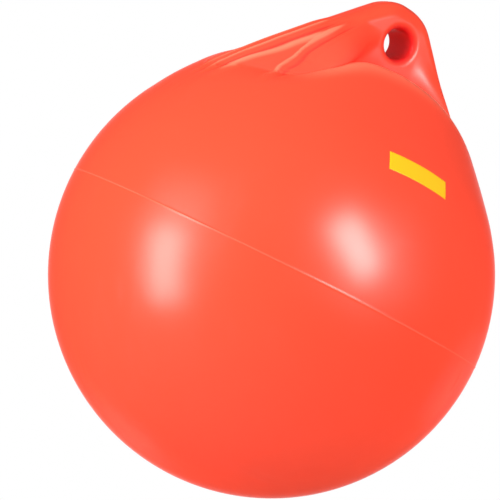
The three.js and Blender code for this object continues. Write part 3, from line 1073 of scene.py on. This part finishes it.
@dataclass
class RopeEye:
    """Round hole through the tab, with a soft flare to both cheeks."""

    throat_radius: float = 17.5
    flare_radius: float = 8.5
    land: float = 1.6
    flare_steps: int = 10
    throat_steps: int = 8
    spin_steps: int = 96
    margin: float = 3.2
    bore_shade_spread: float = 0.9

    def profile(self, tab_half: float) -> Profile:
        """Returns radius and rise from one cheek through the throat to the other."""
        mouth = self.throat_radius + self.flare_radius
        upper = [(mouth + self.land, tab_half)]
        for i in range(self.flare_steps + 1):
            turn = math.pi / 2.0 * (1.0 - i / self.flare_steps)
            upper.append((
                mouth - self.flare_radius * math.cos(turn),
                tab_half - self.flare_radius * (1.0 - math.sin(turn)),
            ))
        start = upper[-1][1]
        throat = [
            (self.throat_radius, mix(start, -start, i / self.throat_steps))
            for i in range(1, self.throat_steps)
        ]
        lower = [(radius, -rise) for radius, rise in reversed(upper)]
        return tuple(upper + throat + lower)

    def line(self, mesh: bmesh.types.BMesh) -> None:
        """Marks the throat's skin in a layer for painted shade, fading out over the flare."""
        bore_shade = mesh.verts.layers.float.new("bore_shade")
        wide = self.throat_radius + self.flare_radius
        end = mix(self.throat_radius, wide, self.bore_shade_spread)
        for vert in mesh.verts:
            reach = math.hypot(vert.co.x, vert.co.z) / MM
            if reach < wide:
                vert[bore_shade] = 1.0 - ease(reach, self.throat_radius, end)

    def mouth(self, tab_half: float) -> Mouth:
        """Returns the opening to cut, at the frame's origin along Y."""
        reach = self.throat_radius + self.flare_radius + self.land + self.margin
        centre, axis = Vector((0.0, 0.0, 0.0)), Vector((0.0, 1.0, 0.0))
        return Mouth(centre, axis, reach, self.profile(tab_half), self.spin_steps, True)


@dataclass
class Valve:
    """Rubber needle valve, its flange flush in a shallow seat of the skin."""

    latitude: float = 44.0
    flange_radius: float = 11.0
    flange_thickness: float = 2.4
    barrel_radius: float = 6.5
    length: float = 16.0
    edge_round: float = 0.6
    hole_radius: float = 1.4
    hole_depth: float = 11.0
    clearance: float = 0.3
    lip_share: float = 2.6
    lip_round: float = 0.4
    lip_fall: float = 0.15
    lip_depth: float = 1.4
    groove: Profile = ((0.74, 0.0), (0.70, -0.45), (0.62, -0.45), (0.58, 0.0))
    seat_rim: Profile = ((1.0, 0.0), (0.3, -0.1), (0.0, -0.5))
    seat_margin: float = 5.5
    seat_steps: int = 48
    spin_steps: int = 64
    sharp_angle: float = 0.6

    def axis(self) -> Vector:
        """Returns the valve's outward direction."""
        tilt = math.radians(self.latitude)
        return Vector((0.0, math.cos(tilt), math.sin(tilt)))

    def seat(self, form: BuoyForm) -> Vector:
        """Returns the middle of the flange's face, in metres in the frame."""
        point = self.axis() * form.ball_radius - Vector((0.0, 0.0, form.eye_height))
        return point * MM

    def pocket(self, form: BuoyForm) -> Mouth:
        """Returns the seat that is let into the skin."""
        wide = self.flange_radius + self.clearance
        slim = self.barrel_radius + self.clearance
        step = -self.flange_thickness - self.clearance
        foot = -self.length - self.clearance
        profile = (
            *((wide + out, rise) for out, rise in self.seat_rim),
            (wide, step),
            (slim, step),
            (slim, foot),
            (0.0, foot),
        )
        clear = wide + self.seat_margin
        return Mouth(self.seat(form), self.axis(), clear, profile, self.seat_steps, False)

    def outline(self) -> Profile:
        """Returns radius and rise from the foot of the barrel to the bottom of the hole."""
        soft = self.edge_round
        flange = self.flange_radius
        lip = self.lip_share * self.hole_radius
        return (
            (0.0, -self.length),
            (self.barrel_radius - soft, -self.length),
            (self.barrel_radius, -self.length + soft),
            (self.barrel_radius, -self.flange_thickness),
            (flange, -self.flange_thickness),
            (flange, -soft),
            (flange - 0.3 * soft, -0.3 * soft),
            (flange - soft, 0.0),
            *((share * flange, rise) for share, rise in self.groove),
            (lip + self.lip_round, 0.0),
            (lip, -self.lip_fall),
            (self.hole_radius, -self.lip_depth),
            (self.hole_radius, -self.hole_depth),
            (0.0, -self.hole_depth),
        )

    def build(self, form: BuoyForm, material: bpy.types.Material) -> bpy.types.Object:
        """Returns the valve as a spun piece."""
        mesh = bmesh.new()
        spin_profile(mesh, self.seat(form), self.axis(), self.outline(), self.spin_steps)
        bmesh.ops.recalc_face_normals(mesh, faces=mesh.faces)
        for edge in mesh.edges:
            if edge.is_manifold and edge.calc_face_angle() > self.sharp_angle:
                edge.smooth = False
        piece = finish_object(mesh, "valve_insert_rubber", material)
        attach(piece, BODY)
        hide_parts("valve_insert")
        return piece


@dataclass
class Label:
    """Thin film stuck on the shoulder, cut square and left bare."""

    latitude: float = 38.0
    azimuth: float = -2.8
    turn: float = 1.5
    length: float = 77.0
    height: float = 23.0
    gap: float = 0.25
    thickness: float = 0.4
    columns: int = 60
    rows: int = 20
    rim_width: float = 1.2

    def build(
        self, form: BuoyForm, skin: bmesh.types.BMesh, material: bpy.types.Material
    ) -> bpy.types.Object:
        """Returns the film, laid on the skin.

        Args:
            form: The buoy's form.
            skin: The finished skin to lay it on.
            material: The film's material.

        Returns:
            The film's object.
        """
        tilt = math.radians(self.latitude)
        swing = math.radians(self.azimuth)
        outward = Vector((
            math.cos(tilt) * math.sin(swing), -math.cos(tilt) * math.cos(swing), math.sin(tilt)
        ))
        across = Vector((math.cos(swing), math.sin(swing), 0.0))
        up = outward.cross(across)
        centre = Vector((0.0, 0.0, -form.eye_height * MM))
        spin = Matrix.Rotation(math.radians(self.turn), 2)
        tree = BVHTree.FromBMesh(skin)
        mesh = bmesh.new()
        bmesh.ops.create_grid(mesh, x_segments=self.columns, y_segments=self.rows, size=0.5)
        rim = mesh.verts.layers.float.new("rim")
        for vert in mesh.verts:
            flat = Vector((vert.co.x * self.length, vert.co.y * self.height))
            inset = min(self.length / 2.0 - abs(flat.x), self.height / 2.0 - abs(flat.y))
            vert[rim] = 1.0 - ease(inset, 0.0, self.rim_width)
            spot = spin @ flat
            ray = (outward * form.ball_radius + across * spot.x + up * spot.y).normalized()
            hit = tree.ray_cast(centre + ray * 2.0 * form.ball_radius * MM, -ray)[0]
            vert.co = hit + ray * self.gap * MM
        bmesh.ops.recalc_face_normals(mesh, faces=mesh.faces)
        if sum((face.normal for face in mesh.faces), Vector()).dot(outward) < 0.0:
            bmesh.ops.reverse_faces(mesh, faces=mesh.faces)
        bmesh.ops.solidify(mesh, geom=mesh.faces[:], thickness=self.thickness * MM)
        bmesh.ops.recalc_face_normals(mesh, faces=mesh.faces)
        piece = finish_object(mesh, "label_film_bare", material)
        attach(piece, BODY)
        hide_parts("label")
        return piece


@dataclass
class BuoyBody:
    """The moulded vinyl body: skin, rope eye and valve seat in one piece."""

    form: BuoyForm
    eye: RopeEye
    valve: Valve

    def mesh(self) -> bmesh.types.BMesh:
        """Returns the skin with its eye and its valve seat."""
        mesh = SkinMesh(self.form).shape()
        self.eye.mouth(self.form.tab_half()).cut(mesh)
        self.valve.pocket(self.form).cut(mesh)
        self.eye.line(mesh)
        bmesh.ops.recalc_face_normals(mesh, faces=mesh.faces)
        return mesh

    def build(self, mesh: bmesh.types.BMesh, material: bpy.types.Material) -> bpy.types.Object:
        """Returns the body's object."""
        piece = finish_object(mesh, "buoy_body_skin", material)
        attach(piece, BODY)
        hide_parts("buoy_body")
        return piece


@dataclass(frozen=True)
class StudioCamera:
    """Long-lens camera that leans, so that the buoy's axis runs up to the right."""

    azimuth: float = -30.0
    elevation: float = -1.9
    lean: float = 26.38
    distance: float = 1800.0
    lens: float = 114.8
    shift_right: float = -0.043
    shift_up: float = 0.0498
    far: float = 50.0

    def toward(self) -> Vector:
        """Returns the direction from the ball to the camera."""
        turn = math.radians(self.azimuth)
        rise = math.radians(self.elevation)
        return Vector((
            math.sin(turn) * math.cos(rise), -math.cos(turn) * math.cos(rise), math.sin(rise)
        ))

    def axes(self) -> tuple[Vector, Vector, Vector]:
        """Returns the picture's right, its up and the way towards the camera."""
        turn = math.radians(self.azimuth)
        lean = math.radians(self.lean)
        level = Vector((math.cos(turn), math.sin(turn), 0.0))
        plumb = self.toward().cross(level)
        right = level * math.cos(lean) + plumb * math.sin(lean)
        up = plumb * math.cos(lean) - level * math.sin(lean)
        return right, up, self.toward()

    def bearing(self, right: float, up: float, near: float) -> Vector:
        """Returns a direction told as the picture shows it."""
        axes = self.axes()
        return (axes[0] * right + axes[1] * up + axes[2] * near).normalized()

    def build(self, target: Vector) -> bpy.types.Object:
        """Returns the camera, aimed at the ball's centre."""
        data = bpy.data.cameras.new("studio_camera")
        data.lens = self.lens
        data.shift_x = self.shift_right
        data.shift_y = self.shift_up
        data.clip_end = self.far
        camera = bpy.data.objects.new("studio_camera", data)
        right, up, near = self.axes()
        turned = Matrix((right, up, near)).transposed().to_4x4()
        camera.matrix_world = Matrix.Translation(target + near * self.distance * MM) @ turned
        bpy.context.scene.collection.objects.link(camera)
        bpy.context.scene.camera = camera
        return camera


@dataclass(frozen=True)
class Softbox:
    """Large soft lamp, placed by the picture's directions from the ball's centre.

    Its distance and size are in metres, its power in watts and its roll in degrees.
    """

    name: str
    right: float
    up: float
    near: float
    distance: float
    width: float
    height: float
    power: float
    job: LampJob
    roll: float = 0.0

    def build(self, camera: StudioCamera, target: Vector) -> bpy.types.Object:
        """Returns the lamp, turned to the ball with its height along the picture's up."""
        data = bpy.data.lights.new(self.name, "AREA")
        data.shape = "RECTANGLE"
        data.size = self.width
        data.size_y = self.height
        data.energy = self.power
        lamp = bpy.data.objects.new(self.name, data)
        out = camera.bearing(self.right, self.up, self.near)
        side = camera.axes()[1].cross(out).normalized()
        side.rotate(Matrix.Rotation(math.radians(self.roll), 3, out))
        turned = Matrix((side, out.cross(side), out)).transposed().to_4x4()
        lamp.matrix_world = Matrix.Translation(target + out * self.distance) @ turned
        lamp.visible_camera = False
        lamp.visible_glossy = self.job is LampJob.SHEEN
        lamp.visible_diffuse = self.job is LampJob.FILL
        bpy.context.scene.collection.objects.link(lamp)
        return lamp


@dataclass
class Studio:
    """Pale floor, white surround, softboxes and the camera."""

    camera: StudioCamera = field(default_factory=StudioCamera)
    floor_drop: float = 900.0
    floor_size: float = 9.0
    surround_low: float = 0.32
    surround_high: float = 0.80
    dark_side: float = 0.06
    softboxes: tuple[Softbox, ...] = (
        Softbox("sheen_left", -0.741, 0.08, 0.638, 1.5, 0.4, 0.8, 19.0, LampJob.SHEEN),
        Softbox("sheen_right", 0.60, 0.20, 0.74, 1.5, 0.38, 0.7, 24.0, LampJob.SHEEN, 25.0),
        Softbox("key_left", -0.66, 0.42, 0.62, 1.8, 1.0, 1.0, 35.0, LampJob.FILL),
        Softbox("fill_right", 0.8, 0.1, 0.59, 1.8, 1.0, 1.0, 15.0, LampJob.FILL),
        Softbox("edge_low", -0.55, -0.6, -0.58, 1.0, 0.4, 0.4, 8.0, LampJob.FILL),
        Softbox("edge_right", 0.70, -0.42, -0.58, 1.0, 0.4, 0.4, 7.0, LampJob.FILL),
    )

    def floor_material(self) -> bpy.types.Material:
        """Returns a pale floor that runs out into white away from the buoy's shadow."""
        material, sheet, shader = start_material("pale_floor")
        speckle = sheet.noise(30.0, 3.0, 0.5)
        tone = sheet.ramp(speckle, 0.3, 0.7, 0.86, 0.9)
        colour = sheet.add("ShaderNodeCombineColor")
        sheet.feed(colour, Red=tone, Green=tone, Blue=tone)
        sheet.feed(shader, Base_Color=colour.outputs["Color"], Roughness=0.9)
        light = sheet.add("ShaderNodeEmission")
        sheet.feed(light, Color=(1.0, 1.0, 1.0, 1.0), Strength=1.0)
        away = sheet.add("ShaderNodeVectorMath", operation="LENGTH")
        flat = sheet.add("ShaderNodeMapping")
        sheet.feed(flat, Vector=sheet.coordinates(), Scale=(1.0, 1.0, 0.0))
        sheet.feed(away, Vector=flat.outputs[0])
        white = sheet.ramp(away.outputs["Value"], 0.5, 1.3, 0.75, 1.0)
        path = sheet.add("ShaderNodeLightPath")
        share = sheet.math("MULTIPLY", path.outputs["Is Camera Ray"], white)
        both = sheet.add("ShaderNodeMixShader")
        for index, value in enumerate((share, shader.outputs[0], light.outputs[0])):
            sheet.put(both.inputs[index], value)
        output = next(n for n in sheet.tree.nodes if n.bl_idname == "ShaderNodeOutputMaterial")
        sheet.feed(output, Surface=both.outputs["Shader"])
        return material

    def build_floor(self) -> bpy.types.Object:
        """Returns the floor, well below the hanging buoy and all the lamps."""
        mesh = bmesh.new()
        bmesh.ops.create_grid(mesh, x_segments=8, y_segments=8, size=self.floor_size / 2.0)
        low = CAD_BOX[0][2] - self.floor_drop * MM
        bmesh.ops.translate(mesh, verts=mesh.verts, vec=(0.0, 0.0, low))
        floor = finish_object(mesh, "floor", self.floor_material())
        floor.visible_glossy = False
        return floor

    @staticmethod
    def along(
        sheet: NodeSheet, way: bpy.types.NodeSocket, direction: Vector
    ) -> bpy.types.NodeSocket:
        """Returns how nearly a way out into the surround follows a direction, from -1 to 1."""
        node = sheet.add("ShaderNodeVectorMath", operation="DOT_PRODUCT")
        sheet.put(node.inputs[0], way)
        sheet.put(node.inputs[1], direction)
        return node.outputs["Value"]

    def build_world(self) -> None:
        """Makes the surround: white where it is seen, and for gloss white behind the buoy only."""
        world = bpy.data.worlds.new("studio_surround")
        bpy.context.scene.world = world
        world.use_nodes = True
        sheet = NodeSheet(world.node_tree)
        way = sheet.add("ShaderNodeTexCoord").outputs["Generated"]
        mirrored = sheet.ramp(
            self.along(sheet, way, self.camera.toward()), -1.0, -0.88, 1.0, self.dark_side)
        overhead = sheet.ramp(
            self.along(sheet, way, self.camera.axes()[1]),
            -0.9, 0.9, self.surround_low, self.surround_high)
        path = sheet.add("ShaderNodeLightPath")
        clear = sheet.math(
            "MAXIMUM", path.outputs["Is Camera Ray"], path.outputs["Is Transmission Ray"])
        gloss = sheet.math(
            "MULTIPLY", path.outputs["Is Glossy Ray"], sheet.math("SUBTRACT", mirrored, overhead))
        strength = sheet.math("MAXIMUM", sheet.math("ADD", gloss, overhead), clear)
        surround = sheet.add("ShaderNodeBackground")
        sheet.feed(surround, Color=(1.0, 1.0, 1.0, 1.0), Strength=strength)
        sheet.feed(sheet.add("ShaderNodeOutputWorld"), Surface=surround.outputs["Background"])

    def build(self, target: Vector) -> None:
        """Builds the whole studio round the ball's centre."""
        self.camera.build(target)
        self.build_floor()
        self.build_world()
        for softbox in self.softboxes:
            softbox.build(self.camera, target)
        bpy.context.scene.view_settings.view_transform = "Standard"


# From the long fold on the cheek to the small one just past the edge's middle.
PLEATS = (
    Pleat(150.0, 290.0, 98.0, 57.0, 28.0, 5.0, 3.6),
    Pleat(152.0, 290.0, 107.0, 65.0, 35.0, 4.0, -1.6),
    Pleat(156.0, 286.0, 115.0, 72.0, 41.0, 4.0, 1.6),
    Pleat(150.0, 275.0, 33.0, 37.0, 36.0, 13.0, 3.2),
    Pleat(154.0, 285.0, 21.0, 24.0, 20.0, 5.0, -1.6),
    Pleat(150.0, 292.0, 9.0, 13.0, 8.0, 5.0, 3.2),
    Pleat(150.0, 292.0, 2.0, 5.0, 0.0, 3.5, -1.4),
    Pleat(150.0, 292.0, -8.0, -5.0, -9.0, 5.0, 2.5),
)


def main() -> None:
    """Builds the buoy's pieces in order, then the studio, and reports each."""
    logging.basicConfig(level=logging.INFO, format="%(name)s: %(message)s")
    effects = SharedEffects()
    form = BuoyForm(pleats=PLEATS)
    valve = Valve()
    body = BuoyBody(form, RopeEye(), valve)
    mesh = body.mesh()
    LOG.info("skin: %d faces", len(mesh.faces))
    label = Label().build(form, mesh, FilmFinish().build(effects))
    LOG.info("%s: %d faces", label.name, len(label.data.polygons))
    skin = body.build(mesh, VinylFinish().build(effects))
    LOG.info("%s: %d faces", skin.name, len(skin.data.polygons))
    insert = valve.build(form, RubberFinish().build(effects))
    LOG.info("%s: %d faces", insert.name, len(insert.data.polygons))
    Studio().build(Vector((0.0, 0.0, -form.eye_height * MM)))


if __name__ == "__main__":
    main()
